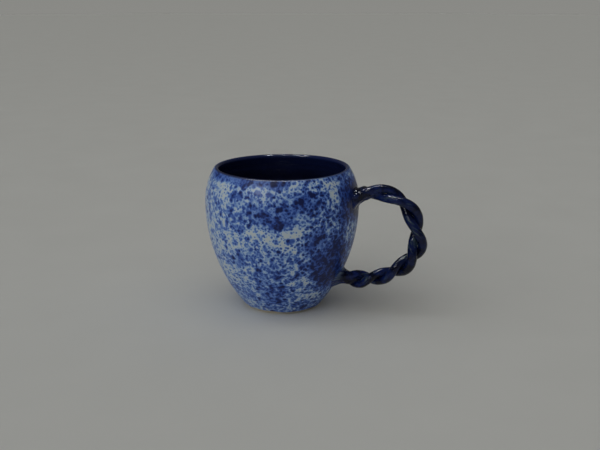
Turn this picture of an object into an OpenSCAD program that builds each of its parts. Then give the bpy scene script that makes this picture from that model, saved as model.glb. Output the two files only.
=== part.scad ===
// Wheel-thrown barrel mug with a handle of two clay coils twisted like rope.
// Z is the axis of the pot, z = 0 is the table, and the handle stands out along +X.

/* [Body] */
// Height from the table to the top of the lip
mug_h = 83.5; // [80:0.5:90]
// Radius at the fullest part of the belly, over the glaze
belly_r = 45; // [43:0.5:48]
// Height of the fullest part of the belly
belly_z = 62; // [58:1:66]
// How far the shoulder draws in between the belly and the lip
shoulder_in = 6; // [4:0.5:8]
// Clay thickness at the lip
lip_t = 2.1; // [1.8:0.1:3]
// Clay thickness of the wall from the belly down
wall_t = 3.6; // [3:0.1:4.5]
// Clay thickness through the floor
floor_t = 5.4; // [4.5:0.1:7]

/* [Foot] */
// Radius of the foot where the wall lands on it, over the glaze
foot_r = 21.3; // [20:0.1:24]
// Width of the turned ring that stands on the table
ring_w = 4.6; // [3.5:0.1:6]
// Depth of the turned recess under the floor
recess_d = 1.6; // [1:0.1:2.2]
// Height of bare clay left under the glaze line
bare_h = 1.3; // [1:0.1:2.5]

/* [Glaze] */
// Thickness of each glaze coat on the body
glaze_t = 0.45; // [0.3:0.05:0.6]
// Thickness of the glaze coat on each coil
coil_glaze_t = 0.3; // [0.2:0.05:0.4]
// How far below the top of the lip the liner glaze laps over the outside
lap_h = 1.2; // [1.2:0.1:4]

/* [Handle] */
// Distance from the axis of the pot to the middle of the handle's far side
reach = 80.8; // [78:0.2:86]
// Height of the far side's middle
reach_z = 43; // [41:0.5:46]
// Coil radius over its glaze, at the far side of the handle
coil_r = 2.8; // [2.5:0.05:3.1]
// Coil radius over its glaze, at both ends of the handle
coil_end_r = 2.4; // [2.3:0.05:2.8]
// Full turns of twist over the length of the handle
twist_turns = 3.25; // [2.5:0.05:4]
// How many times tighter the twist is at the lower end than at the upper end
twist_tighten = 1.85; // [1:0.05:2.5]
// Angle of coil A round the pair at the upper end, from the side of the mug towards the outside
twist_start = -57; // [-180:1:180]

/* [Joints] */
// Radius of each slip joint at the face that the coils end on
joint_r = 5.6; // [5.6:0.1:6.4]
// How much wider the upper slip joint is at its buried root than at that face
upper_joint_flare = 7; // [3:0.5:8]
// How much wider the lower slip joint is at its buried root than at that face
lower_joint_flare = 2.5; // [1:0.5:4]
// Length of the handle's path taken up by the upper slip joint
upper_joint_len = 7; // [6.5:0.5:10]
// Length of the handle's path taken up by the lower slip joint
lower_joint_len = 4.5; // [4:0.5:7]

/* [Hidden] */
$fn = 96;

// Shape of the lower wall: 1 is a parabola, less is fuller
belly_power = 0.87;
// Shape of the shoulder: larger keeps it upright for longer before it draws in
shoulder_power = 2.35;
// Steps in each curve of the body's outline
wall_steps = 22;
lap_steps = 2;
lip_steps = 10;
floor_steps = 12;
// Height where the inside leaves the wall's own line and rounds into the floor
bowl_z = 30;
// How hard the bowl's curve follows the wall and the floor
bowl_wall_pull = 15;
bowl_floor_pull = 19;
// Half the span over which the wall's slope is measured
slope_span = 0.25;
floor_top = recess_d + floor_t;
// The lip is a round nose, so the wall's line ends a little below the top of the mug
nose_r = lip_t / 2 + glaze_t;
tip_z = mug_h - nose_r / 2;
lap_z = mug_h - lap_h;
// Taper of the wall of the turned recess
recess_taper = 1;

// Heights where the handle's centreline meets the wall
upper_z = mug_h - 15.5;
lower_z = 20.5;
// The centreline starts this far inside the glazed surface, and ends this far outside it
upper_root = 3.2;
lower_root = 0.57;
// The two curves of the handle's centreline, in the XZ plane, wall to wall
upper_curve = [[outer_r(upper_z) - upper_root, upper_z], [63.5, upper_z + 9],
               [reach, reach_z + 25.5], [reach, reach_z]];
lower_curve = [[reach, reach_z], [reach, reach_z - 14.5], [53.5, 13.5],
               [outer_r(lower_z) + lower_root, lower_z]];
// Rings along a coil, sides round it, and samples used to measure the path
coil_rings = 52;
coil_sides = 12;
path_samples = 120;
// Half the span over which the path's heading is measured
heading_span = 1;
// The coils press together, so their centres lie slightly less than a radius from the centreline
press = 0.98;
// Gap between a coil's clay and its glaze coat, and round a slip joint in the glaze
fit_gap = 0.03;
// Depth that a slip joint is drawn into the wall before the wall cuts it off
joint_root = 8;
joint_steps = 8;

clay = [0.80, 0.72, 0.60];
spatter_white = [0.72, 0.76, 0.86];
cobalt = [0.05, 0.07, 0.30];
navy = [0.09, 0.13, 0.32];
slip_navy = [0.12, 0.16, 0.33];

// --- Outline of the body -------------------------------------------------------------------------

function lower_wall_r(z) =
    foot_r + (belly_r - foot_r) * pow(max(0, 1 - pow((belly_z - z) / belly_z, 2)), belly_power);
function shoulder_r(z) =
    belly_r - shoulder_in * pow((z - belly_z) / (mug_h - belly_z), shoulder_power);
function outer_r(z) = z < belly_z ? lower_wall_r(z) : shoulder_r(z);

function slope(z) =
    (outer_r(z + slope_span) - outer_r(max(0, z - slope_span))) / (slope_span + min(z, slope_span));
function unit(v) = v / norm(v);
function normal(z) = unit([1, -slope(z)]);
// The point that lies a depth d under the glazed surface at height z
function inset(z, d) = [outer_r(z), z] - d * normal(z);

function clay_t(z) =
    z < belly_z ? wall_t : wall_t + (lip_t - wall_t) * (z - belly_z) / (tip_z - belly_z);

function steps(from, to, n) = [for (i = [0:n]) from + (to - from) * i / n];
function reversed(list) = [for (i = [len(list) - 1:-1:0]) list[i]];
function bezier(c, t) =
    pow(1 - t, 3) * c[0] + 3 * t * pow(1 - t, 2) * c[1] + 3 * t * t * (1 - t) * c[2] + pow(t, 3) * c[3];

// Lines of the outline, each a list of [radius, height] points that runs up or inwards
function outside_line(d, z0, z1, n) = [for (z = steps(z0, z1, n)) inset(z, d)];
function nose_line(r) =
    let (middle = inset(tip_z, nose_r), n = normal(tip_z), start = atan2(n[1], n[0]))
    [for (a = steps(0, 180, lip_steps)) middle + r * [cos(start + a), sin(start + a)]];
function inside_line(d) = [for (z = steps(tip_z, bowl_z, wall_steps)) inset(z, d + clay_t(z))];
function bowl_line(d, lift) =
    let (top = inset(bowl_z, d + wall_t),
         along = unit([slope(bowl_z), 1]),
         curve = [top, top - bowl_wall_pull * along, [bowl_floor_pull, floor_top + lift],
                  [0, floor_top + lift]])
    [for (i = [1:floor_steps]) bezier(curve, i / floor_steps)];

clay_outside = outside_line(glaze_t, bare_h, tip_z, 2 * wall_steps);
clay_inside = concat(inside_line(glaze_t), bowl_line(glaze_t, 0));
foot_outer = foot_r - glaze_t;
foot_inner = foot_outer - ring_w;

// --- Path and twist of the handle ----------------------------------------------------------------

function path_point(u) = u < 1 ? bezier(upper_curve, u) : bezier(lower_curve, u - 1);
path = [for (u = steps(0, 2, path_samples)) path_point(u)];
path_len = [for (i = 0, s = 0; i <= path_samples;
                 i = i + 1, s = i <= path_samples ? s + norm(path[i] - path[i - 1]) : s) s];
handle_len = path_len[path_samples];

// The path's point at a distance s along it, read between two samples
function at_length(s) = [lookup(s, [for (i = [0:path_samples]) [path_len[i], path[i][0]]]),
                         lookup(s, [for (i = [0:path_samples]) [path_len[i], path[i][1]]])];
function heading(s) =
    unit(at_length(min(s + heading_span, handle_len)) - at_length(max(s - heading_span, 0)));

// The twist speeds up evenly along the handle, from slow_rate to slow_rate * twist_tighten
slow_rate = 2 * 360 * twist_turns / (handle_len * (1 + twist_tighten));
function twist_rate(s) = slow_rate * (1 + (twist_tighten - 1) * s / handle_len);
function twist(s) =
    twist_start + slow_rate * (s + (twist_tighten - 1) * s * s / (2 * handle_len));
function pair_r(s) = coil_end_r + (coil_r - coil_end_r) * sin(180 * s / handle_len);

// One ring of points round a coil, thinner than the glazed coil by shrink. The ring lies square to
// the handle's path, where a coil that leans across it has an oval section.
function coil_ring(s, phase, shrink) =
    let (c = at_length(s),
         t = heading(s),
         outward = [-t[1], 0, t[0]],
         side = [0, -1, 0],
         a = twist(s) + phase,
         away = cos(a) * side + sin(a) * outward,
         across = cos(a) * outward - sin(a) * side,
         centre_r = press * pair_r(s),
         r = pair_r(s) - shrink,
         lean = atan(centre_r * twist_rate(s) * PI / 180))
    [for (k = [0:coil_sides - 1])
        let (q = (k + 0.5) * 360 / coil_sides)
        [c[0], 0, c[1]] + (centre_r + r * cos(q)) * away + r / cos(lean) * sin(q) * across];

function coil_points(phase, shrink) =
    [for (s = steps(upper_joint_len, handle_len - lower_joint_len, coil_rings - 1))
        each coil_ring(s, phase, shrink)];
// The two triangles of a four-sided patch, turned over where inward is true
function patch(a, b, c, d, inward) =
    inward ? [[a, c, b], [a, d, c]] : [[a, b, c], [a, c, d]];
// Faces between neighbouring rings, where first is the number of the first ring's first point
function tube_faces(first, inward) =
    [for (i = [0:coil_rings - 2], k = [0:coil_sides - 1])
        let (k2 = (k + 1) % coil_sides,
             low = first + i * coil_sides,
             high = low + coil_sides)
        each patch(low + k, low + k2, high + k2, high + k, inward)];

module coil(phase) {
    last = (coil_rings - 1) * coil_sides;
    start_cap = [for (k = [coil_sides - 1:-1:0]) k];
    end_cap = [for (k = [0:coil_sides - 1]) last + k];
    polyhedron(coil_points(phase, coil_glaze_t + fit_gap),
               concat(tube_faces(0, false), [start_cap, end_cap]), convexity = 10);
}

module coil_sleeve(phase) {
    inner = coil_rings * coil_sides;
    last = inner - coil_sides;
    start_rim = [for (k = [0:coil_sides - 1])
        let (k2 = (k + 1) % coil_sides)
        each patch(k2, k, inner + k, inner + k2, false)];
    end_rim = [for (k = [0:coil_sides - 1])
        let (k2 = (k + 1) % coil_sides)
        each patch(last + k, last + k2, inner + last + k2, inner + last + k, false)];
    polyhedron(concat(coil_points(phase, 0), coil_points(phase, coil_glaze_t)),
               concat(tube_faces(0, false), tube_faces(inner, true), start_rim, end_rim),
               convexity = 10);
}

// A round pad whose end face is square to the path at s, and that widens by spread on its way back
// into the wall. way is 1 for the pad at the start of the path and -1 for the one at its end.
module flare(s, way, spread, grow) {
    c = at_length(s);
    t = way * heading(s);
    profile = [for (x = steps(0, 1, joint_steps)) [joint_r + grow + spread * x * x, joint_root * x]];
    translate([c[0], 0, c[1]])
        rotate([0, atan2(-t[0], -t[1]), 0])
            rotate_extrude()
                polygon(concat([[0, 0]], profile, [[0, joint_root]]));
}

module upper_flare(grow = 0) {
    flare(upper_joint_len, 1, upper_joint_flare, grow);
}

module lower_flare(grow = 0) {
    flare(handle_len - lower_joint_len, -1, lower_joint_flare, grow);
}

// Everything inside the clay's outer surface, used to cut the slip joints to the wall
module clay_envelope() {
    rotate_extrude()
        polygon(concat([[0, bare_h]], clay_outside, [[0, mug_h]]));
}

// --- The pieces ----------------------------------------------------------------------------------

module thrown_body() {
    color(clay)
        rotate_extrude()
            polygon(concat([[0, recess_d], [foot_inner - recess_taper, recess_d], [foot_inner, 0],
                            [foot_outer, 0]],
                           clay_outside, nose_line(lip_t / 2), clay_inside));
}

module outer_glaze() {
    color(spatter_white)
        difference() {
            rotate_extrude()
                polygon(concat(outside_line(0, bare_h, lap_z, 2 * wall_steps),
                               reversed(outside_line(glaze_t, bare_h, lap_z, 2 * wall_steps))));
            upper_flare(fit_gap);
            lower_flare(fit_gap);
        }
}

module liner_glaze() {
    surface_side = concat(outside_line(0, lap_z, tip_z, lap_steps), nose_line(nose_r),
                          inside_line(2 * glaze_t), bowl_line(2 * glaze_t, glaze_t));
    clay_side = concat(outside_line(glaze_t, lap_z, tip_z, lap_steps), nose_line(lip_t / 2), clay_inside);
    color(cobalt)
        rotate_extrude()
            polygon(concat(surface_side, reversed(clay_side)));
}

module handle_coil_a() {
    color(clay) coil(0);
}

module handle_coil_b() {
    color(clay) coil(180);
}

module coil_a_glaze() {
    color(navy) coil_sleeve(0);
}

module coil_b_glaze() {
    color(navy) coil_sleeve(180);
}

module upper_slip_joint() {
    color(slip_navy)
        difference() {
            upper_flare();
            clay_envelope();
        }
}

module lower_slip_joint() {
    color(slip_navy)
        difference() {
            lower_flare();
            clay_envelope();
        }
}

thrown_body();
outer_glaze();
liner_glaze();
handle_coil_a();
handle_coil_b();
coil_a_glaze();
coil_b_glaze();
upper_slip_joint();
lower_slip_joint();
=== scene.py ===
import math
from typing import NamedTuple

import bpy
import numpy as np
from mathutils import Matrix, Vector, noise


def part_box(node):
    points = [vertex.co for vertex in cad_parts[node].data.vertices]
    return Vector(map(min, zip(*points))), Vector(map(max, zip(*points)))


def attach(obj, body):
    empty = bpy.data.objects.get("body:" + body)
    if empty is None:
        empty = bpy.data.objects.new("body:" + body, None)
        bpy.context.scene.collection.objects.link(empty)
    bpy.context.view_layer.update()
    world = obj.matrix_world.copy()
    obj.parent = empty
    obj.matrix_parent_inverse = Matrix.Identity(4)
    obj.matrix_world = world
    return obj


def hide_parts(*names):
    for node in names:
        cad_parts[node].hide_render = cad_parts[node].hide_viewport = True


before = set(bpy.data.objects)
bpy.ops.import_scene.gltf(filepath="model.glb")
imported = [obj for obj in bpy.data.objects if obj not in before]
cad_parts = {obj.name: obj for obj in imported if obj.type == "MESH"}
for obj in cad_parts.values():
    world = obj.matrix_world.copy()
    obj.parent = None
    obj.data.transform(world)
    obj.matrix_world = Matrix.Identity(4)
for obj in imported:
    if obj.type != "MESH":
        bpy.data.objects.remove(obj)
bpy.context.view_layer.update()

# Shapes are worked out in millimetres, in the frame of the CAD model: Z is the axis of the pot, z = 0 is
# the table and the handle stands out along +X. Azimuths are in degrees from +X, and the camera is near -72.
MM = 0.001

# Sizes read from the frame
outer_low, outer_high = (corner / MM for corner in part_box("outer_glaze"))
liner_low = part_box("liner_glaze")[0] / MM
BELLY_R = outer_high.y
BARE_H = outer_low.z
LAP_Z = outer_high.z
FLOOR_TOP = liner_low.z

# Driving dimensions of the body, as in the CAD model
LAP_DROP = 1.2
MUG_H = LAP_Z + LAP_DROP
BELLY_Z = 62.0
SHOULDER_IN = 6.0
BELLY_POWER = 0.87
SHOULDER_POWER = 2.35
FOOT_R = 21.3
RING_W = 4.6
RECESS_D = 1.6
RECESS_TAPER = 1.0
LIP_T = 2.1
WALL_T = 3.6
GLAZE_T = 0.45
BOWL_Z = 30.0
BOWL_WALL_PULL = 15.0
BOWL_FLOOR_PULL = 19.0
NOSE_R = LIP_T / 2 + GLAZE_T
TIP_Z = MUG_H - NOSE_R / 2
RING_OUTER = FOOT_R - GLAZE_T
RING_INNER = RING_OUTER - RING_W

# What the drawn pot has beyond the CAD model: the edges of its foot ring are rounded to this radius
EDGE_R = 0.3
# A row this close to the line where the two glazes meet keeps the shading straight up to it
SEAM = 0.02
# The coat crept up the foot this much further in the kiln
EDGE_LIFT = 0.25
# The hidden clay lies this much under the glaze, so that the two never show through each other
CLAY_GAP = 0.05
COIL_CLAY_GAP = 0.03

# Driving dimensions of the handle, as in the CAD model
REACH = 80.8
REACH_Z = 43.0
COIL_R = 2.8
COIL_END_R = 2.4
COIL_GLAZE_T = 0.3
TWIST_TURNS = 3.25
TWIST_TIGHTEN = 1.85
TWIST_START = math.radians(-57)
# The coils are pressed together more closely than in the CAD model, whose facets leave a gap
PRESS = 0.94
UPPER_ROOT = (41.5, 68.0)
LOWER_ROOT = (36.0, 20.5)
UPPER_CURVE = [UPPER_ROOT, (63.5, 77), (REACH, REACH_Z + 25.5), (REACH, REACH_Z)]
LOWER_CURVE = [(REACH, REACH_Z), (REACH, REACH_Z - 14.5), (53.5, 13.5), LOWER_ROOT]

# The camera stands CAMERA_DISTANCE from CAMERA_TARGET and looks at CAMERA_AIM, in millimetres and degrees
CAMERA_AZIMUTH = -72.0
CAMERA_ELEVATION = 15.83
CAMERA_DISTANCE = 535.2
CAMERA_TARGET = (0.0, 0.0, 41.7)
CAMERA_AIM = (9.9, 3.2, 47.8)
CAMERA_LENS = 54.0

# The lights: how wide each side of the sky is, in degrees, and how far off the lamps are, in metres
SKY_SPREAD = 90
LAMP_DISTANCE = 1.3

# Columns of points round the body, and rows down the inside of its wall and over its floor: more for a
# face that shows than for a hidden one
AROUND = 256
SHOWN_ROWS = (96, 60)
HIDDEN_ROWS = (24, 14)


# --- Small helpers --------------------------------------------------------------------------------------


def smoothstep(x, low, high):
    """0 up to low, 1 from high on, and a smooth rise between them."""
    t = np.clip((x - low) / (high - low), 0, 1)
    return t * t * (3 - 2 * t)


def cubic(a, b, c, d, t):
    """The cubic curve that leaves a towards b and comes in to d from c."""
    return (1 - t) ** 3 * a + 3 * t * (1 - t) ** 2 * b + 3 * t * t * (1 - t) * c + t ** 3 * d


def bezier(controls, t):
    """Points on the curve of four control points, one for each t from 0 to 1."""
    a, b, c, d = (np.array(point, float) for point in controls)
    return cubic(a, b, c, d, np.asarray(t, float)[..., None])


def turns(count):
    """Angles evenly all the way round, in radians."""
    return np.linspace(0, 2 * math.pi, count, endpoint=False)


def direction(azimuth, elevation):
    """The unit vector towards an azimuth and elevation in degrees."""
    a, e = math.radians(azimuth), math.radians(elevation)
    return Vector((math.cos(e) * math.cos(a), math.cos(e) * math.sin(a), math.sin(e)))


def lumps(points, scale, seed):
    """Smooth noise from -1 to 1 at each point, with features about scale millimetres across."""
    shift = Vector((seed * 17.3, seed * 5.1, seed * 29.7))
    flat = points.reshape(-1, 3)
    values = [noise.noise(Vector(p) / scale + shift) for p in flat]
    return np.array(values).reshape(points.shape[:-1])


def skin(name, rows, loop=False):
    """A closed mesh through rows of points, each row a ring. With loop, the last row joins the first;
    without it, each end closes on a point in the middle of its ring."""
    n, m = rows.shape[:2]
    points = rows.reshape(-1, 3)
    column = np.arange(m)
    following = (column + 1) % m
    faces = []
    for i in range(n if loop else n - 1):
        low, high = i * m, (i + 1) % n * m
        faces += np.stack([low + column, low + following, high + following, high + column], 1).tolist()
    if not loop:
        points = np.vstack([points, rows[0].mean(0), rows[-1].mean(0)])
        start, end, last = n * m, n * m + 1, (n - 1) * m
        faces += np.stack([np.full(m, start), following, column], 1).tolist()
        faces += np.stack([np.full(m, end), last + column, last + following], 1).tolist()
    mesh = bpy.data.meshes.new(name)
    mesh.from_pydata((points * MM).tolist(), [], faces)
    mesh.polygons.foreach_set("use_smooth", [True] * len(mesh.polygons))
    mesh.update()
    piece = bpy.data.objects.new(name, mesh)
    bpy.context.scene.collection.objects.link(piece)
    return piece


def stand_in(piece, node, material):
    """The piece stands for one CAD node and moves with the mug."""
    piece.data.materials.append(material)
    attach(piece, "root")
    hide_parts(node)


# --- Outline of the body --------------------------------------------------------------------------------


def outer_r(z):
    """Radius of the glazed outside at height z."""
    z = np.asarray(z, float)
    rise = np.maximum(0, 1 - ((BELLY_Z - z) / BELLY_Z) ** 2)
    lower = FOOT_R + (BELLY_R - FOOT_R) * rise ** BELLY_POWER
    above = np.maximum(0, z - BELLY_Z) / (MUG_H - BELLY_Z)
    return np.where(z < BELLY_Z, lower, BELLY_R - SHOULDER_IN * above ** SHOULDER_POWER)


def slope(z):
    """How fast the outside widens with height."""
    span = 0.25
    low = np.maximum(0, z - span)
    return (outer_r(z + span) - outer_r(low)) / (z + span - low)


def inset(z, d):
    """Points [radius, height] a depth d under the glazed outside."""
    z = np.asarray(z, float)
    normal = np.stack([np.ones_like(z), -slope(z)], -1)
    normal /= np.linalg.norm(normal, axis=-1, keepdims=True)
    return np.stack([outer_r(z), z], -1) - np.asarray(d)[..., None] * normal


def clay_t(z):
    """Thickness of the clay wall, which thins towards the lip."""
    return np.where(z < BELLY_Z, WALL_T, WALL_T + (LIP_T - WALL_T) * (z - BELLY_Z) / (TIP_Z - BELLY_Z))


def nose_line(r, n):
    """The round of the lip, from the outside over the top to the inside."""
    tilt = math.atan2(-float(slope(TIP_Z)), 1)
    a = tilt + np.linspace(0, math.pi, n)
    return inset(TIP_Z, NOSE_R) + r * np.stack([np.cos(a), np.sin(a)], 1)


def inside_line(d, lift, n_wall, n_floor):
    """The inside, from the lip down the wall, round the bowl and nearly to the middle of the floor."""
    z = np.linspace(TIP_Z, BOWL_Z, n_wall)
    wall = inset(z, d + clay_t(z))
    along = np.array([float(slope(BOWL_Z)), 1])
    along /= np.linalg.norm(along)
    floor_z = FLOOR_TOP + lift
    curve = [wall[-1], wall[-1] - BOWL_WALL_PULL * along, (BOWL_FLOOR_PULL, floor_z), (0, floor_z)]
    return np.vstack([wall, bezier(curve, np.linspace(0, 1, n_floor + 1)[1:-1])])


def arc(centre, r, start, end, n):
    """n points on a round corner, from one angle in degrees to another."""
    a = np.radians(np.linspace(start, end, n))
    return np.array(centre) + r * np.stack([np.cos(a), np.sin(a)], 1)


# --- Marks of the hand on the body ------------------------------------------------------------------------

# How far hands and kiln pulled the pot out of true: its oval, a three-sided bulge and the wave of its lip
OVAL = 0.16
THREE_SIDED = 0.07
LIP_WAVE = 0.14
# Relief and spacing of the marks: outside ridges, inside ridges, the ring under the lip, turning grooves
OUTER_RIDGE, OUTER_PITCH = 0.04, 5.4
INNER_RIDGE, INNER_PITCH = 0.10, 6.8
RING_RELIEF, RING_BELOW_LIP, RING_HALF_W = 0.22, 9, 1.1
GROOVE, GROOVE_PITCH = 0.05, 1.3


def throw(line, relief=None):
    """Turns a line of [radius, height] points into rings, a little out of round, with a lip that is not
    quite level. relief, if given, is a function of azimuth and height that adds to the radius."""
    azimuth = turns(AROUND)[None, :]
    r, z = line[:, 0, None], line[:, 1, None]
    oval = OVAL * np.cos(2 * azimuth + 0.7) * z / MUG_H
    three_sided = THREE_SIDED * np.cos(3 * azimuth - 1.2 + z / 25)
    lip_wave = LIP_WAVE * np.sin(2 * azimuth + 0.4) * smoothstep(z, 66, MUG_H)
    radius = r + (oval + three_sided) * smoothstep(r, 2, 20)
    if relief is not None:
        radius = radius + relief(azimuth, z)
    return np.stack([radius * np.cos(azimuth), radius * np.sin(azimuth), z + lip_wave], -1)


def outer_ridges(azimuth, z):
    """Faint spiral ridges that the fingers left on the outside."""
    fade = smoothstep(z, 3, 12) * (1 - smoothstep(z, 74, 81))
    return OUTER_RIDGE * fade * np.sin(2 * math.pi * z / OUTER_PITCH - azimuth + 0.6 * np.sin(z / 7))


def inner_ridges(azimuth, z):
    """Ridges on the inside, with one stronger ring under the lip."""
    fade = smoothstep(z, FLOOR_TOP + 4, 26) * (1 - smoothstep(z, 76, 81))
    ring = np.exp(-((z - MUG_H + RING_BELOW_LIP + 0.4 * np.sin(azimuth)) / RING_HALF_W) ** 2)
    return -INNER_RIDGE * fade * np.sin(2 * math.pi * z / INNER_PITCH - azimuth) - RING_RELIEF * ring


def turning_marks(azimuth, r):
    """Fine grooves of the trimming tool under the foot."""
    return GROOVE * np.sin(2 * math.pi * r / GROOVE_PITCH - azimuth) * smoothstep(r, 0.5, 3)


# --- Pieces of the body -----------------------------------------------------------------------------------

# The lower edge of the outer coat: a band of closer rows, with a bead of this thickness, height above the
# edge and half height, whose wander up and down fades over WANDER_FADE
EDGE_BAND = 1.8
BEAD_T = 0.16
BEAD_Z = 0.75
BEAD_HALF_H = 0.5
WANDER_FADE = 2.5


def foot_line(recess_r):
    """The turned foot: a ring with soft edges, and the floor of the recess at each of the given radii."""
    outer_edge = arc((RING_OUTER - EDGE_R, EDGE_R), EDGE_R, -20, -90, 6)
    ring_r = np.linspace(RING_OUTER - EDGE_R, RING_INNER + EDGE_R, 16)[1:-1]
    ring = np.stack([ring_r, np.zeros_like(ring_r)], 1)
    inner_edge = arc((RING_INNER + EDGE_R, EDGE_R), EDGE_R, -90, -160, 6)
    recess = np.stack([recess_r, np.full_like(recess_r, RECESS_D)], 1)
    return np.vstack([outer_edge, ring, inner_edge, recess])


def thrown_body(material):
    """The clay of the pot, bare only round and under the foot."""
    depth = GLAZE_T + CLAY_GAP
    inside = inside_line(depth, -CLAY_GAP, *HIDDEN_ROWS)[::-1]
    nose = nose_line(LIP_T / 2 - CLAY_GAP, 10)[::-1]
    wall = inset(np.linspace(TIP_Z, BARE_H, 60), depth)
    recess_r = np.linspace(RING_INNER - RECESS_TAPER, 0.4, 56)
    rows = throw(np.vstack([inside, nose[1:-1], wall, foot_line(recess_r)]))
    under = rows[-len(recess_r):]
    under[..., 2] += turning_marks(turns(AROUND)[None, :], recess_r[:, None])
    stand_in(skin("thrown_body_clay", rows), "thrown_body", material)


def outer_glaze(material):
    """A closed coat whose lower edge is a soft rolled bead that wanders a little round the foot."""
    foot_z = BARE_H + EDGE_LIFT
    edge_top = foot_z + EDGE_BAND
    edge_z = np.linspace(foot_z, edge_top, 16)
    wall_z = np.linspace(edge_top, LAP_Z, 132)[1:-1]
    z = np.concatenate([edge_z, wall_z, [LAP_Z - SEAM, LAP_Z]])
    rounding = np.sqrt(1 - (1 - np.clip((z - foot_z) / GLAZE_T, 0, 1)) ** 2)
    bead = BEAD_T * np.exp(-((z - foot_z - BEAD_Z) / BEAD_HALF_H) ** 2)
    face = inset(z, GLAZE_T * (1 - rounding) - bead)
    back_z = np.linspace(LAP_Z, foot_z, 40)
    back = inset(back_z, np.full_like(back_z, GLAZE_T))
    rows = np.vstack([throw(face, outer_ridges), throw(back)])
    azimuth = np.arctan2(rows[..., 1], rows[..., 0])
    wander = 0.22 * np.sin(3 * azimuth + 1) + 0.16 * np.sin(7 * azimuth) + 0.1 * np.sin(13 * azimuth + 2)
    rows[..., 2] += wander * np.exp(-np.maximum(0, rows[..., 2] - foot_z) / WANDER_FADE)
    stand_in(skin("outer_glaze_coat", rows, loop=True), "outer_glaze", material)


def liner_glaze(material):
    """The coat inside, which comes over the lip and meets the outer coat."""
    lap_z = np.array([LAP_Z, LAP_Z + SEAM, (LAP_Z + TIP_Z) / 2, TIP_Z])
    lap = throw(inset(lap_z, np.zeros_like(lap_z)), outer_ridges)
    lip = throw(nose_line(NOSE_R, 18)[1:-1])
    inside = throw(inside_line(2 * GLAZE_T, GLAZE_T, *SHOWN_ROWS), inner_ridges)
    lap_back = throw(inset(lap_z, np.full_like(lap_z, GLAZE_T)))
    lip_back = throw(nose_line(LIP_T / 2, 10)[1:-1])
    inside_back = throw(inside_line(GLAZE_T, 0, *HIDDEN_ROWS))
    rows = np.vstack([inside[::-1], lip[::-1], lap[::-1], lap_back, lip_back, inside_back])
    stand_in(skin("liner_glaze_coat", rows), "liner_glaze", material)


# --- Path and twist of the handle -------------------------------------------------------------------------

# The centreline as close points, and the length along it to each of them
path_u = np.linspace(0, 1, 1201)
path_xz = np.vstack([bezier(UPPER_CURVE, path_u), bezier(LOWER_CURVE, path_u)[1:]])
path_s = np.concatenate([[0], np.cumsum(np.linalg.norm(np.diff(path_xz, axis=0), axis=1))])
HANDLE_LEN = path_s[-1]
# Radians of twist in a millimetre at the start, which tighten evenly to TWIST_TIGHTEN times as many
SLOW_RATE = 2 * 2 * math.pi * TWIST_TURNS / (HANDLE_LEN * (1 + TWIST_TIGHTEN))
# The two ways that lie square to the centreline are outward(s) and this one
SIDE = np.array([0.0, -1.0, 0.0])


def at_length(s):
    """Points of the handle's centreline a distance s along it, as [x, 0, z]."""
    x, z = (np.interp(s, path_s, path_xz[:, i]) for i in (0, 1))
    return np.stack([x, np.zeros_like(x), z], -1)


def heading(s):
    """The unit vector along the centreline at s."""
    t = at_length(np.minimum(s + 0.5, HANDLE_LEN)) - at_length(np.maximum(s - 0.5, 0))
    return t / np.linalg.norm(t, axis=-1, keepdims=True)


def outward(s):
    """The unit vector square to the centreline at s, in the plane of the handle."""
    t = heading(s)
    return np.stack([-t[..., 2], np.zeros_like(t[..., 0]), t[..., 0]], -1)


def twist(s):
    """How far the pair of coils has turned at s, in radians."""
    return TWIST_START + SLOW_RATE * (s + (TWIST_TIGHTEN - 1) * s * s / (2 * HANDLE_LEN))


def twist_rate(s):
    """Radians of twist in a millimetre at s."""
    return SLOW_RATE * (1 + (TWIST_TIGHTEN - 1) * s / HANDLE_LEN)


def pair_r(s):
    """Radius of each coil at s. The rolled clay is squeezed thinner and fuller in places."""
    share = s / HANDLE_LEN
    squeeze = np.interp(share, [0, 0.3, 0.55, 0.68, 0.8, 0.88, 1], [1, 1, 1.02, 1, 0.92, 1.08, 1.1])
    return squeeze * (COIL_END_R + (COIL_R - COIL_END_R) * np.sin(math.pi * share))


# --- Pieces of the handle ---------------------------------------------------------------------------------

COIL_START = 5.0
COIL_END = HANDLE_LEN - 1.0
# Each coil's flat side lies this far from the middle of the pair, and turns into the round this softly
CONTACT = 0.01
CONTACT_SOFT = 0.05


def coil_rows(phase, shrink, rings, sides):
    """Rings round one coil, pressed flat where it lies against the other."""
    s = np.linspace(COIL_START, COIL_END, rings)[:, None]
    q = turns(sides)[None, :]
    a = (twist(s) + phase)[..., None]
    away = np.cos(a) * SIDE + np.sin(a) * outward(s)
    across = np.cos(a) * outward(s) - np.sin(a) * SIDE
    uneven = 1 + 0.025 * np.sin(s / 4.7 + 2 * phase) + 0.015 * np.sin(s / 2.1 + phase)
    r_full = pair_r(s) * uneven
    centre_r = PRESS * pair_r(s)
    lean = np.arctan(centre_r * twist_rate(s))
    r = r_full - shrink
    reach = centre_r + r * np.cos(q)
    contact = CONTACT + shrink
    reach = contact + CONTACT_SOFT * np.logaddexp(0, (reach - contact) / CONTACT_SOFT)
    return at_length(s) + reach[..., None] * away + (r / np.cos(lean) * np.sin(q))[..., None] * across


def coil_clay(name, node, phase, material):
    """The clay of one coil, hidden under its glaze."""
    rows = coil_rows(phase, COIL_GLAZE_T + COIL_CLAY_GAP, rings=160, sides=20)
    stand_in(skin(name, rows), node, material)


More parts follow.
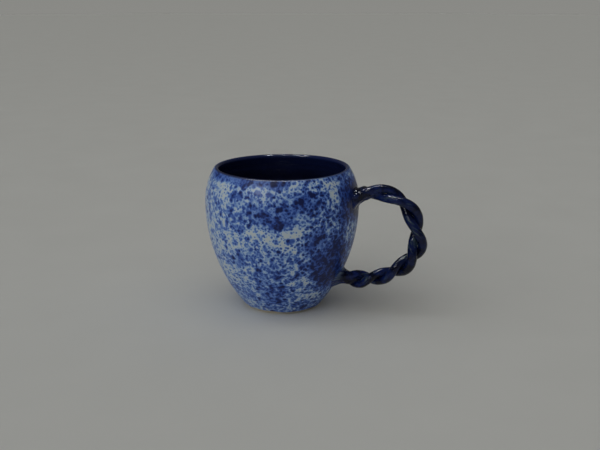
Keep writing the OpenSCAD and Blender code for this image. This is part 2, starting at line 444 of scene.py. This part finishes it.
def coil_glaze(name, node, phase, material):
    """The coat on one coil, a closed tube with small lumps where the glaze ran."""
    rings, sides = 440, 40
    face = coil_rows(phase, 0, rings, sides)
    face_lumps = 0.05 * lumps(face, scale=2.2, seed=1) + 0.03 * lumps(face, scale=0.9, seed=2)
    middle = coil_rows(phase, 1.0, rings, sides)
    face += (face - middle) * face_lumps[..., None]
    back = coil_rows(phase, COIL_GLAZE_T, rings, sides)[::-1]
    piece = skin(name, np.vstack([face, back]), loop=True)
    s = np.linspace(COIL_START, COIL_END, rings)
    add_lay(piece, along=np.concatenate([s, s[::-1]]), sides=sides, r=2.5, shift=40 * phase)
    stand_in(piece, node, material)


def add_lay(piece, along, sides, r, shift):
    """Stores how far along and round its length each point lies, for streaks that follow the clay.
    r is about the piece's radius, and shift keeps the streaks of one piece unlike another's."""
    q = np.tile(turns(sides), len(along))
    lay = np.stack([np.repeat(along, sides), r * np.cos(q), r * np.sin(q) + shift], 1)
    values = np.vstack([lay, np.repeat(lay[-1:], len(piece.data.vertices) - len(lay), 0)])
    attribute = piece.data.attributes.new("lay", "FLOAT_VECTOR", "POINT")
    attribute.data.foreach_set("vector", values.astype(np.float32).ravel())


def pair_outline(phi, s):
    """Distance from the centreline to the outside of the twisted pair, in the direction phi."""
    psi = phi - twist(s)
    r, c = pair_r(s), PRESS * pair_r(s)
    return np.abs(c * np.cos(psi)) + np.sqrt(np.maximum(r * r - (c * np.sin(psi)) ** 2, 0))


class Landing(NamedTuple):
    """Where a pad of slip joins the coils to the wall. s_wall is where the centreline meets the wall, and
    way is 1 at its start and -1 at its end. The fillet spreads over the wall by side, up and down, meets
    the coils a distance near from the wall and ends at far. seed picks its lumps."""

    s_wall: float
    way: int
    side: float
    up: float
    down: float
    near: float
    far: float
    seed: int


UPPER_LANDING = Landing(s_wall=3.4, way=1, side=10.5, up=5.0, down=11.5, near=5.6, far=15.0, seed=3)
LOWER_LANDING = Landing(
    s_wall=HANDLE_LEN - 0.6, way=-1, side=11.0, up=5.0, down=10.0, near=4.6, far=12.0, seed=7
)
PAD_SIDES = 96
PAD_PHI = turns(PAD_SIDES)
# The rows of a pad, as shares of the way: up the fillet to the coils, then along the sleeve over them
FILLET_STEPS = np.linspace(0, 1, 34)
SLEEVE_STEPS = np.linspace(0, 1, 30)[1:]
# Where the sleeve starts, the slip lies this thick on the coils and fills the groove out to this radius.
# At the sleeve's end it has sunk this far into the coils, and fills the groove by this much less.
FILM_T = 0.15
FILL_R = 4.1
END_SINK = 0.15
END_FILL_LESS = 2.7


def round_path(s):
    """Unit vectors all round the centreline at s."""
    return np.cos(PAD_PHI)[:, None] * SIDE + np.sin(PAD_PHI)[:, None] * outward(np.array(s))


def pad_on_wall(landing, share, lift):
    """A ragged ring at a share of the fillet's spread over the wall, lifted off it."""
    compass = round_path(landing.s_wall + landing.way * landing.near)
    ragged = 1 + 0.10 * np.sin(3 * PAD_PHI + landing.seed) + 0.06 * np.sin(7 * PAD_PHI + 2 * landing.seed)
    spread = np.where(compass[:, 2] > 0, landing.up, landing.down)
    z = at_length(np.array(landing.s_wall))[2] + share * ragged * compass[:, 2] * spread
    azimuth = share * ragged * compass[:, 1] * landing.side / outer_r(z)
    r = outer_r(z) + lift
    return np.stack([r * np.cos(azimuth), r * np.sin(azimuth), z], 1)


def pad_on_coils(s, film, fill):
    """A ring round both coils at s, a film over them, with the groove filled out to the radius fill."""
    r = ((pair_outline(PAD_PHI, s) + film) ** 6 + fill ** 6) ** (1 / 6)
    return at_length(np.array(s)) + r[:, None] * round_path(s)


def pad_rows(landing):
    """Rings from the wall up the fillet to the coils, and on along them until the slip runs out."""
    s_near = landing.s_wall + landing.way * landing.near
    edge = pad_on_wall(landing, share=1.0, lift=-0.25)
    off_wall = pad_on_wall(landing, share=0.55, lift=0.5)
    top = pad_on_coils(s_near, FILM_T, FILL_R)
    back_along = top - 0.45 * landing.near * landing.way * heading(np.array(s_near))
    rows = list(cubic(edge, off_wall, back_along, top, FILLET_STEPS[:, None, None]))
    for u in SLEEVE_STEPS:
        s = s_near + landing.way * (landing.far - landing.near) * u
        rows.append(pad_on_coils(s, FILM_T * (1 - u) - END_SINK * u ** 3, FILL_R - END_FILL_LESS * u))
    return np.array(rows)


def slip_joint(name, node, material, landing, smear):
    """The pad of slip round the coils where they land on the wall: a fillet that grows out of the wall,
    runs on over the coils, fills the groove between them and thins out to nothing.
    smear is how far its edge on the wall thins to the blue of the spatter."""
    rows = pad_rows(landing)
    away = rows - rows.mean(1, keepdims=True)
    away /= np.linalg.norm(away, axis=-1, keepdims=True)
    strength = np.concatenate([smoothstep(FILLET_STEPS, 0, 0.35), 1 - smoothstep(SLEEVE_STEPS, 0, 0.5)])
    bumps = 0.34 * lumps(rows, scale=3.6, seed=landing.seed)
    bumps += 0.12 * lumps(rows, scale=1.6, seed=landing.seed + 1)
    rows += away * strength[:, None, None] * bumps[..., None]
    if landing.way < 0:
        rows = rows[:, ::-1]
    piece = skin(name, rows)
    add_lay(piece, along=0.6 * np.arange(len(rows)), sides=PAD_SIDES, r=4.5, shift=40 * landing.seed)
    thin = np.concatenate([1 - smoothstep(FILLET_STEPS, 0.1, 0.7), np.zeros(len(SLEEVE_STEPS))])
    # The two ends close on a point each: the one on the wall is as thin as its edge
    values = np.concatenate([np.repeat(thin, PAD_SIDES), [1, 0]])
    attribute = piece.data.attributes.new("thin", "FLOAT", "POINT")
    attribute.data.foreach_set("value", smear * values.astype(np.float32))
    stand_in(piece, node, material)


# --- Materials --------------------------------------------------------------------------------------------


class Shader:
    """One material's node tree. Most calls add a node and return what comes out of it."""

    def __init__(self, name):
        self.material = bpy.data.materials.new(name)
        self.material.use_nodes = True
        self.tree = self.material.node_tree
        self.surface = self.tree.nodes["Principled BSDF"]

    def node(self, kind, *inputs, **settings):
        """A new node with its first inputs fed in order."""
        made = self.tree.nodes.new("ShaderNode" + kind)
        for key, value in settings.items():
            setattr(made, key, value)
        for socket, value in zip(made.inputs, inputs):
            self.feed(socket, value)
        return made

    def feed(self, socket, value):
        """Links a socket to another node's output, or sets it to a plain value."""
        if isinstance(value, bpy.types.NodeSocket):
            self.tree.links.new(value, socket)
        elif value is not None:
            socket.default_value = value

    def maths(self, operation, *values, clamp=False):
        """One operation on numbers, such as ADD."""
        return self.node("Math", *values, operation=operation, use_clamp=clamp).outputs[0]

    def vector(self, operation, *values):
        """One operation on vectors, such as ADD."""
        made = self.node("VectorMath", *values, operation=operation)
        return made.outputs["Value" if operation in ("LENGTH", "DOT_PRODUCT") else "Vector"]

    def part(self, vector, axis):
        """One part of a vector: 0, 1 or 2 for X, Y or Z."""
        return self.node("SeparateXYZ", vector).outputs[axis]

    def scaled(self, vector, factor):
        """The vector, times a number."""
        made = self.node("VectorMath", operation="SCALE")
        self.feed(made.inputs[0], vector)
        self.feed(made.inputs["Scale"], factor)
        return made.outputs["Vector"]

    def smooth(self, value, low, high, to_low=0.0, to_high=1.0):
        """A smooth change from to_low to to_high as the value goes from low to high."""
        made = self.node("MapRange", interpolation_type="SMOOTHSTEP")
        for socket, v in zip(made.inputs, (value, low, high, to_low, to_high)):
            self.feed(socket, v)
        return made.outputs[0]

    def noise(self, vector, scale, detail=2.0, roughness=0.5):
        """Cloudy noise: its first output is a number, its second a colour."""
        made = self.node("TexNoise")
        self.feed(made.inputs["Vector"], vector)
        made.inputs["Scale"].default_value = scale
        made.inputs["Detail"].default_value = detail
        made.inputs["Roughness"].default_value = roughness
        return made.outputs

    def cells(self, vector, scale, randomness=1.0):
        """Cells round scattered points, with the distance to the point and a random colour in each."""
        made = self.node("TexVoronoi")
        self.feed(made.inputs["Vector"], vector)
        made.inputs["Scale"].default_value = scale
        made.inputs["Randomness"].default_value = randomness
        return made.outputs

    def mix(self, factor, a, b):
        """Colour a where the factor is 0, colour b where it is 1."""
        made = self.node("Mix", data_type="RGBA")
        self.feed(made.inputs["Factor"], factor)
        self.feed(made.inputs["A"], a if isinstance(a, bpy.types.NodeSocket) else (*a, 1))
        self.feed(made.inputs["B"], b if isinstance(b, bpy.types.NodeSocket) else (*b, 1))
        return made.outputs["Result"]

    def ramp(self, value, stops):
        """Colour that runs through the stops as the value goes from 0 to 1."""
        made = self.node("ValToRGB")
        elements = made.color_ramp.elements
        while len(elements) < len(stops):
            elements.new(0.5)
        for element, (position, colour) in zip(elements, stops):
            element.position = position
            element.color = (*colour, 1)
        self.feed(made.inputs[0], value)
        return made.outputs[0]

    def place_mm(self):
        """Position on the mug, in millimetres."""
        return self.scaled(self.node("TexCoord").outputs["Object"], 1 / MM)

    def bump(self, height, distance_mm, normal=None):
        """A normal for relief distance_mm deep, on top of another one if it is given."""
        made = self.node("Bump")
        made.inputs["Distance"].default_value = distance_mm * MM
        self.feed(made.inputs["Height"], height)
        self.feed(made.inputs["Normal"], normal)
        return made.outputs[0]

    def finish(self, colour, roughness, normal=None, specular=0.5):
        """Feeds the surface and returns the finished material."""
        self.surface.inputs["Specular IOR Level"].default_value = specular
        self.feed(self.surface.inputs["Base Color"], colour)
        self.feed(self.surface.inputs["Roughness"], roughness)
        self.feed(self.surface.inputs["Normal"], normal)
        return self.material


def on_wall(azimuth, z):
    """The place on the glazed outside at an azimuth and height."""
    a = math.radians(azimuth)
    r = float(outer_r(z))
    return (r * math.cos(a), r * math.sin(a), z)


# Soft patches on the glazed outside: azimuth, height, half width, half height and strength.
# In these the drops of cobalt fall more thickly, or more thinly where the strength is negative.
DENSITY_PATCHES = [
    (-66, 55, 11, 4.0, -0.62),
    (-80, 51, 8, 3.5, -0.35),
    (-108, 46, 10, 5, -0.10),
    (-60, 60, 6, 3, -0.25),
    (-92, 77, 6, 3.5, -0.35),
    (-60, 79, 8, 4, -0.45),
    (-42, 80, 9, 4, -0.40),
    (-30, 74, 4, 6, -0.40),
    (-112, 22, 8, 5, -0.30),
    (-44, 14, 8, 3.5, -0.45),
    (-52, 40, 4, 2.5, -0.35),
    (-130, 52, 18, 30, -0.20),
    (-74, 64, 10, 9, 0.50),
    (-52, 71, 8, 7, 0.40),
    (-92, 64, 9, 6, 0.30),
    (-40, 46, 16, 14, 0.30),
    (-28, 32, 16, 14, 0.65),
    (-22, 20, 14, 9, 0.30),
    (-104, 36, 12, 5, 0.20),
    (-84, 14, 14, 5, 0.20),
    (-90, 20, 26, 13, 0.14),
]
# Soft patches where the blue has run together, with the same five values
WASH_PATCHES = [
    (-132, 82.3, 24, 3.2, 0.9),
    (-104, 82.3, 24, 3.2, 0.9),
    (-80, 82.3, 12, 3.0, 0.9),
    (-20, 84, 14, 4.0, 0.5),
    (0, 67, 16, 13, 2.2),
    (-16, 72, 9, 9, 1.2),
    (-20, 62, 8, 8, 0.7),
    (0, 20, 9, 7, 0.9),
    (-40, 44, 14, 12, 0.25),
    (-64, 68, 26, 13, 0.22),
    (-24, 27, 15, 12, 0.35),
    (100, 82.5, 30, 3.0, 0.6),
    (158, 82.5, 20, 2.6, 0.6),
    (45, 82.5, 16, 2.8, 0.55),
]
# A patch is at its full strength out to PATCH_FULL of its half sizes, and gone at PATCH_END of them
PATCH_FULL = 0.35
PATCH_END = 1.25
# The blue lies more thickly towards the handle, and this also paints shade on that side, away from the
# light: over these X its amount changes from the first value below, on the lit side, to the second, on the
# shaded side
THICKER_AND_SHADED_X = (-30, 38)
LIT_THIN_SIDE = 0.76
SHADED_THICK_SIDE = 1.25
# The azimuth of the arc of the lip where the navy pools instead of thinning
LIP_POOL = -113.0
# Radius of the ring on which the round of the lip is centred
LIP_R = float(inset(TIP_Z, NOSE_R)[0])
# Layers of drops: spacing, smallest and largest radius, and strength
DROPS = [
    (5.2, 1.8, 2.6, 0.90),
    (4.6, 1.5, 2.3, 0.90),
    (3.9, 1.3, 1.9, 0.85),
    (3.4, 1.1, 1.7, 0.85),
    (2.9, 0.95, 1.45, 0.85),
    (2.5, 0.8, 1.25, 0.80),
    (2.1, 0.65, 1.05, 0.75),
    (1.7, 0.5, 0.85, 0.65),
    (1.4, 0.4, 0.65, 0.50),
]
# Drops spaced more closely than FINE_SPACING fall nearly everywhere, with FINE_EXTRA more density
FINE_SPACING = 2.6
FINE_EXTRA = 0.3
# Below FLAT_BELOW the drops are flatter than round, by this share of their height
FLAT_BELOW = 28.0
FLATTER = 0.35
# A drop is full out to CORE of its radius, and a faint halo bleeds on round it to BLEED of it
CORE, CORE_STRENGTH = 0.4, 0.8
BLEED, HALO_STRENGTH = 1.5, 0.35
# The colour of the glaze as the cobalt on it goes from none to PIGMENT_SPAN
GLAZE_COLOURS = [
    (0.0, (0.60, 0.67, 0.71)),
    (0.06, (0.47, 0.60, 0.78)),
    (0.135, (0.28, 0.44, 0.74)),
    (0.24, (0.135, 0.26, 0.65)),
    (0.37, (0.066, 0.155, 0.53)),
    (0.51, (0.034, 0.095, 0.41)),
    (0.63, (0.018, 0.054, 0.28)),
    (0.76, (0.010, 0.030, 0.18)),
    (1.0, (0.004, 0.012, 0.09)),
]
PIGMENT_SPAN = 3.0


def patches(shader, place, table, combine):
    """Soft patches at a place, added up or the strongest of them."""
    total = 0.0
    for azimuth, z, half_width, half_height, strength in table:
        offset = shader.vector("SUBTRACT", place, on_wall(azimuth, z))
        stretched = shader.vector("DIVIDE", offset, (half_width, half_width, half_height))
        distance = shader.vector("LENGTH", stretched)
        soft = shader.smooth(distance, PATCH_END, PATCH_FULL, 0.0, strength)
        total = shader.maths(combine, soft, total)
    return total


def drop_layer(shader, place, density, layer, number):
    """Round soft drops of pigment. Each cell of the pattern holds one drop of its own size, or none."""
    spacing, r_low, r_high, strength = layer
    shifted = shader.vector("ADD", place, (13.1 * number, -7.7 * number, 5.3 * number))
    cells = shader.cells(shifted, 1 / spacing, 0.85)
    chance = shader.node("SeparateColor", cells["Color"]).outputs
    distance = shader.maths("MULTIPLY", cells["Distance"], spacing)
    grown = shader.maths("MULTIPLY_ADD", shader.maths("POWER", chance[0], 1.5), r_high - r_low, r_low)
    there = shader.smooth(shader.maths("SUBTRACT", density, chance[1]), -0.12, 0.12)
    radius = shader.maths("MULTIPLY", grown, there)
    full = shader.maths("MULTIPLY", radius, CORE)
    wide = shader.maths("MULTIPLY", radius, BLEED)
    core = shader.smooth(distance, radius, full, 0.0, CORE_STRENGTH)
    drop = shader.maths("ADD", core, shader.smooth(distance, wide, 0.0, 0.0, HALO_STRENGTH))
    tone = shader.maths("MULTIPLY_ADD", chance[2], 0.5 * strength, 0.75 * strength)
    return shader.maths("MULTIPLY", shader.maths("MULTIPLY", drop, tone), there)


def flatten_low(shader, place):
    """The same place, stretched downward below FLAT_BELOW, so that drops there come out flatter."""
    low = shader.maths("SUBTRACT", shader.part(place, 2), FLAT_BELOW)
    below = shader.maths("MULTIPLY", shader.maths("MINIMUM", low, 0.0), FLATTER)
    down = shader.node("CombineXYZ")
    shader.feed(down.inputs[2], below)
    return shader.vector("ADD", place, down.outputs[0])


def spatter(shader, place):
    """How much cobalt lies on the white glaze at each place, with painted shade on the side away from the
    light.
    """
    wander = shader.vector("SUBTRACT", shader.noise(place, 0.5, 2)[1], (0.5, 0.5, 0.5))
    warped = shader.vector("ADD", place, shader.scaled(wander, 0.7))
    cloud = shader.noise(place, 0.085, 2)[0]
    density = shader.smooth(cloud, 0.34, 0.64, 0.55, 0.98)
    density = shader.maths("ADD", density, patches(shader, place, DENSITY_PATCHES, "ADD"))
    blur = shader.maths("MULTIPLY_ADD", shader.noise(warped, 0.25, 3, 0.6)[0], 1.1, -0.55)
    haze = shader.smooth(shader.maths("ADD", density, blur), 0.65, 1.6, 0.0, 0.95)
    total = shader.maths("ADD", haze, patches(shader, warped, WASH_PATCHES, "MAXIMUM"))
    flattened = flatten_low(shader, warped)
    for number, layer in enumerate(DROPS):
        extra = FINE_EXTRA if layer[0] < FINE_SPACING else 0.0
        likely = shader.maths("ADD", density, extra)
        total = shader.maths("ADD", total, drop_layer(shader, flattened, likely, layer, number))
    # Painted shade in part: the cobalt grows towards the handle side, which lies away from the light
    thicker_and_shaded = shader.smooth(shader.part(place, 0), *THICKER_AND_SHADED_X, LIT_THIN_SIDE, SHADED_THICK_SIDE)
    return shader.maths("MULTIPLY", total, thicker_and_shaded)


def pigment_colour(shader, total):
    """White glaze through blue to navy as the pigment thickens."""
    return shader.ramp(shader.maths("DIVIDE", total, PIGMENT_SPAN, clamp=True), GLAZE_COLOURS)


def spatter_material():
    """White glaze, satin, with the cobalt spatter."""
    shader = Shader("spatter_glaze")
    place = shader.place_mm()
    total = spatter(shader, place)
    colour = pigment_colour(shader, total)
    grain = shader.noise(place, 0.9, 3)[0]
    peel = shader.noise(place, 0.35, 2)[0]
    roughness = shader.smooth(grain, 0.3, 0.7, 0.30, 0.40)
    normal = shader.bump(peel, 0.10)
    normal = shader.bump(total, 0.02, normal)
    return shader.finish(colour, roughness, normal, specular=0.35)


def lip_thinness(shader, place, radius, height):
    """How thin the navy lies on the crest of the lip: raggedly, and hardly at all where it pooled."""
    ragged = shader.maths("MULTIPLY_ADD", shader.noise(place, 0.4, 2)[0], 0.5, -0.25)
    on_crest = shader.smooth(shader.maths("ADD", height, ragged), MUG_H - 0.75, MUG_H - 0.3, 0, 0.4)
    on_outside = shader.smooth(radius, LIP_R - 0.9, LIP_R + 0.1)
    toward_pool = shader.vector("DOT_PRODUCT", place, direction(LIP_POOL, 0))
    clear_of_pool = shader.smooth(toward_pool, 25, 33, 1, 0.05)
    return shader.maths("MULTIPLY", shader.maths("MULTIPLY", on_crest, on_outside), clear_of_pool)


def liner_material():
    """Glossy cobalt navy, which breaks pale where it thins over the lip and meets the spatter outside."""
    shader = Shader("cobalt_glaze")
    place = shader.place_mm()
    radius = shader.vector("LENGTH", shader.vector("MULTIPLY", place, (1, 1, 0)))
    height = shader.part(place, 2)
    cloud = shader.noise(place, 0.12, 3)[0]
    streak = shader.noise(shader.vector("MULTIPLY", place, (1, 1, 0.25)), 0.5, 3)[0]
    colour = shader.mix(cloud, (0.002, 0.003, 0.014), (0.004, 0.006, 0.034))
    colour = shader.mix(shader.smooth(streak, 0.5, 0.8, 0, 0.5), colour, (0.007, 0.013, 0.065))
    # Painted light and shade: the inside is a lighter blue near the rim and darker deeper down, where less
    # light reaches
    colour = shader.mix(shader.smooth(height, 68, 82, 0, 0.8), colour, (0.012, 0.022, 0.10))
    past_lip = shader.smooth(radius, LIP_R + 0.6, LIP_R + 1.3)
    near_lip = shader.smooth(height, LAP_Z - 1.5, LAP_Z - 1.0)
    outside = pigment_colour(shader, spatter(shader, place))
    colour = shader.mix(shader.maths("MULTIPLY", past_lip, near_lip), colour, outside)
    colour = shader.mix(lip_thinness(shader, place, radius, height), colour, (0.07, 0.13, 0.34))
    glossy = shader.smooth(cloud, 0.3, 0.7, 0.06, 0.11)
    satin = shader.smooth(radius, LIP_R - 0.2, LIP_R + 0.7, 0.0, 0.24)
    normal = shader.bump(shader.noise(place, 0.3, 2)[0], 0.07)
    return shader.finish(colour, shader.maths("ADD", glossy, satin), normal, specular=0.37)


def navy_material(name, break_share):
    """Glossy navy, bluer where it is thick and painted darker towards the outer bend as shade, that breaks
    to faint grey-green rutile along the coils.
    break_share is how far the rutile covers the navy where it breaks."""
    shader = Shader(name)
    place = shader.place_mm()
    lay = shader.node("Attribute", attribute_name="lay").outputs["Vector"]
    along = shader.vector("MULTIPLY", lay, (0.12, 0.5, 0.5))
    streaks = shader.noise(along, 1.0, 4, 0.65)[0]
    cloud = shader.noise(place, 0.13, 3)[0]
    mottle = shader.noise(place, 0.35, 2, 0.5)[0]
    blue = shader.smooth(shader.maths("MULTIPLY_ADD", mottle, 0.4, cloud), 0.56, 0.86)
    # Painted shade: the navy darkens towards the outer bend of the handle, on the side away from the light
    blue = shader.maths("MULTIPLY", blue, shader.smooth(shader.part(place, 0), 55, 78, 1.0, 0.5))
    deep = shader.mix(blue, (0.002, 0.0035, 0.016), (0.0075, 0.021, 0.125))
    rutile = shader.mix(shader.noise(along, 2.2, 2)[0], (0.035, 0.060, 0.075), (0.085, 0.125, 0.135))
    broken = shader.smooth(shader.maths("MULTIPLY_ADD", cloud, 0.6, streaks), 0.86, 1.02, 0, break_share)
    colour = shader.mix(broken, deep, rutile)
    thin = shader.node("Attribute", attribute_name="thin").outputs["Fac"]
    drag = shader.noise(shader.vector("MULTIPLY", lay, (0.05, 0.7, 0.7)), 1.0, 3, 0.6)[0]
    smear = shader.mix(shader.smooth(drag, 0.42, 0.64), (0.012, 0.030, 0.17), (0.20, 0.27, 0.38))
    colour = shader.mix(thin, colour, smear)
    from_speck = shader.cells(place, 1.1)["Distance"]
    colour = shader.mix(shader.smooth(from_speck, 0.28, 0.12, 0, 0.6), colour, (0.003, 0.004, 0.012))
    roughness = shader.smooth(broken, 0, 1, 0.05, 0.15)
    normal = shader.bump(shader.noise(place, 0.45, 3)[0], 0.35)
    normal = shader.bump(streaks, 0.12, normal)
    return shader.finish(colour, roughness, normal, specular=0.28)


def clay_material():
    """Buff stoneware with fine iron specks, toasted towards the edge of the glaze."""
    shader = Shader("bare_clay")
    place = shader.place_mm()
    cloud = shader.noise(place, 0.3, 4)[0]
    buff = shader.mix(cloud, (0.66, 0.59, 0.47), (0.80, 0.74, 0.61))
    toast = shader.smooth(shader.maths("ADD", shader.part(place, 2), cloud), 1.2, 2.3, 0, 0.45)
    colour = shader.mix(toast, buff, (0.45, 0.33, 0.21))
    specks = shader.cells(place, 0.9)
    chance = shader.node("SeparateColor", specks["Color"]).outputs[0]
    size = shader.smooth(chance, 0.5, 1.0, 0.04, 0.20)
    colour = shader.mix(shader.smooth(specks["Distance"], size, 0.02, 0, 0.7), colour, (0.12, 0.07, 0.04))
    roughness = shader.smooth(cloud, 0.3, 0.7, 0.78, 0.92)
    normal = shader.bump(shader.noise(place, 3.0, 4)[0], 0.15)
    return shader.finish(colour, roughness, normal)


def floor_material():
    """Plain pale grey, hardly clouded."""
    shader = Shader("pale_floor")
    place = shader.place_mm()
    tone = shader.noise(place, 0.02, 3)[0]
    colour = shader.mix(tone, (0.66, 0.66, 0.63), (0.71, 0.71, 0.68))
    roughness = shader.smooth(tone, 0.3, 0.7, 0.85, 0.95)
    return shader.finish(colour, roughness)


def backdrop_material():
    """Pale paper that glows as brightly as the floor far off, and a little less higher up."""
    shader = Shader("pale_backdrop")
    tone = shader.smooth(shader.part(shader.place_mm(), 2), 0, 1600)
    colour = shader.mix(tone, (0.252, 0.252, 0.237), (0.22, 0.222, 0.212))
    shader.feed(shader.surface.inputs["Emission Color"], colour)
    shader.surface.inputs["Emission Strength"].default_value = 1.0
    return shader.finish((0, 0, 0, 1), 1.0, specular=0.0)


# --- Floor, light and camera ------------------------------------------------------------------------------


def floor():
    """A plain floor, in metres."""
    half = 14.0
    corners = [(-half, -half, 0), (half, -half, 0), (half, half, 0), (-half, half, 0)]
    mesh = bpy.data.meshes.new("floor")
    mesh.from_pydata(corners, [], [(0, 1, 2, 3)])
    plane = bpy.data.objects.new("floor", mesh)
    bpy.context.scene.collection.objects.link(plane)
    mesh.materials.append(floor_material())


def backdrop():
    """A plain pale wall all round, far off. Only the camera sees it, so it adds no light."""
    r, height, sides = 5.0, 2.6, 96
    ring = [direction(360 * i / sides, 0) * r for i in range(sides)]
    corners = ring + [corner + Vector((0, 0, height)) for corner in ring]
    faces = [(i, (i + 1) % sides, sides + (i + 1) % sides, sides + i) for i in range(sides)]
    mesh = bpy.data.meshes.new("backdrop")
    mesh.from_pydata(corners, [], faces)
    mesh.materials.append(backdrop_material())
    wall = bpy.data.objects.new("backdrop", mesh)
    bpy.context.scene.collection.objects.link(wall)
    wall.visible_diffuse = False
    wall.visible_glossy = False
    wall.visible_shadow = False


def lamp(name, across, nearer, size, watts):
    """A small lamp overhead, seen only as a glint in the glaze. across runs from left to right and
    nearer towards the camera, each as a share of its distance. size is its two sides, in metres."""
    data = bpy.data.lights.new(name, "AREA")
    data.shape = "RECTANGLE"
    data.size, data.size_y = size
    data.energy = watts
    data.color = (0.92, 0.96, 1.0)
    light = bpy.data.objects.new(name, data)
    right = direction(CAMERA_AZIMUTH + 90, 0)
    front = direction(CAMERA_AZIMUTH, 0)
    up = math.sqrt(1 - across ** 2 - nearer ** 2)
    toward = across * right + nearer * front + Vector((0, 0, up))
    light.location = Vector(CAMERA_TARGET) * MM + toward * LAMP_DISTANCE
    light.rotation_euler = toward.to_track_quat("Z", "Y").to_euler()
    light.visible_diffuse = False
    bpy.context.scene.collection.objects.link(light)


def sky(name, azimuth, elevation, strength, colour):
    """Broad even light from one side, which doesn't show in the glaze."""
    data = bpy.data.lights.new(name, "SUN")
    data.angle = math.radians(SKY_SPREAD)
    data.energy = strength
    data.color = colour
    light = bpy.data.objects.new(name, data)
    light.rotation_euler = direction(azimuth, elevation).to_track_quat("Z", "Y").to_euler()
    light.visible_glossy = False
    bpy.context.scene.collection.objects.link(light)


def room():
    """Faint warm light from all round."""
    world = bpy.data.worlds.new("room")
    world.use_nodes = True
    background = world.node_tree.nodes["Background"]
    background.inputs["Color"].default_value = (1.0, 0.97, 0.89, 1)
    background.inputs["Strength"].default_value = 0.08
    bpy.context.scene.world = world


def lights():
    """Soft daylight from the left and above, a little from behind, and small lamps for glints."""
    sky("left_daylight", azimuth=-132, elevation=34, strength=0.66, colour=(0.94, 0.98, 1.0))
    sky("high_daylight", azimuth=-90, elevation=60, strength=0.61, colour=(0.99, 0.99, 0.98))
    sky("back_daylight", azimuth=70, elevation=40, strength=0.17, colour=(1.0, 0.97, 0.90))
    for number, across in enumerate((-0.44, -0.25, -0.02, 0.19), 1):
        lamp(f"lamp_{number}", across, nearer=0.05, size=(0.11, 0.12), watts=4.6)
    lamp("front_lamp", across=-0.55, nearer=0.65, size=(0.20, 0.15), watts=2.6)
    room()


def camera():
    """The camera at the photograph's angle."""
    data = bpy.data.cameras.new("camera")
    data.lens = CAMERA_LENS
    data.sensor_width = 36.0
    data.clip_start, data.clip_end = 0.01, 50.0
    cam = bpy.data.objects.new("camera", data)
    toward = direction(CAMERA_AZIMUTH, CAMERA_ELEVATION)
    cam.location = (Vector(CAMERA_TARGET) + toward * CAMERA_DISTANCE) * MM
    look = Vector(CAMERA_AIM) * MM - cam.location
    cam.rotation_euler = look.to_track_quat("-Z", "Y").to_euler()
    bpy.context.scene.collection.objects.link(cam)
    bpy.context.scene.camera = cam


# --- The scene --------------------------------------------------------------------------------------------

camera()
lights()
floor()
backdrop()
clay = clay_material()
navy = navy_material("navy_glaze", 0.75)
pad_navy = navy_material("pad_glaze", 0.3)
thrown_body(clay)
outer_glaze(spatter_material())
liner_glaze(liner_material())
for letter, phase in (("a", 0.0), ("b", math.pi)):
    coil_clay(f"coil_{letter}_clay", f"handle_coil_{letter}", phase, clay)
    coil_glaze(f"coil_{letter}_coat", f"coil_{letter}_glaze", phase, navy)
slip_joint("upper_slip_pad", "upper_slip_joint", pad_navy, UPPER_LANDING, smear=0.0)
slip_joint("lower_slip_pad", "lower_slip_joint", navy, LOWER_LANDING, smear=0.9)
bpy.context.scene.view_settings.view_transform = "Standard"
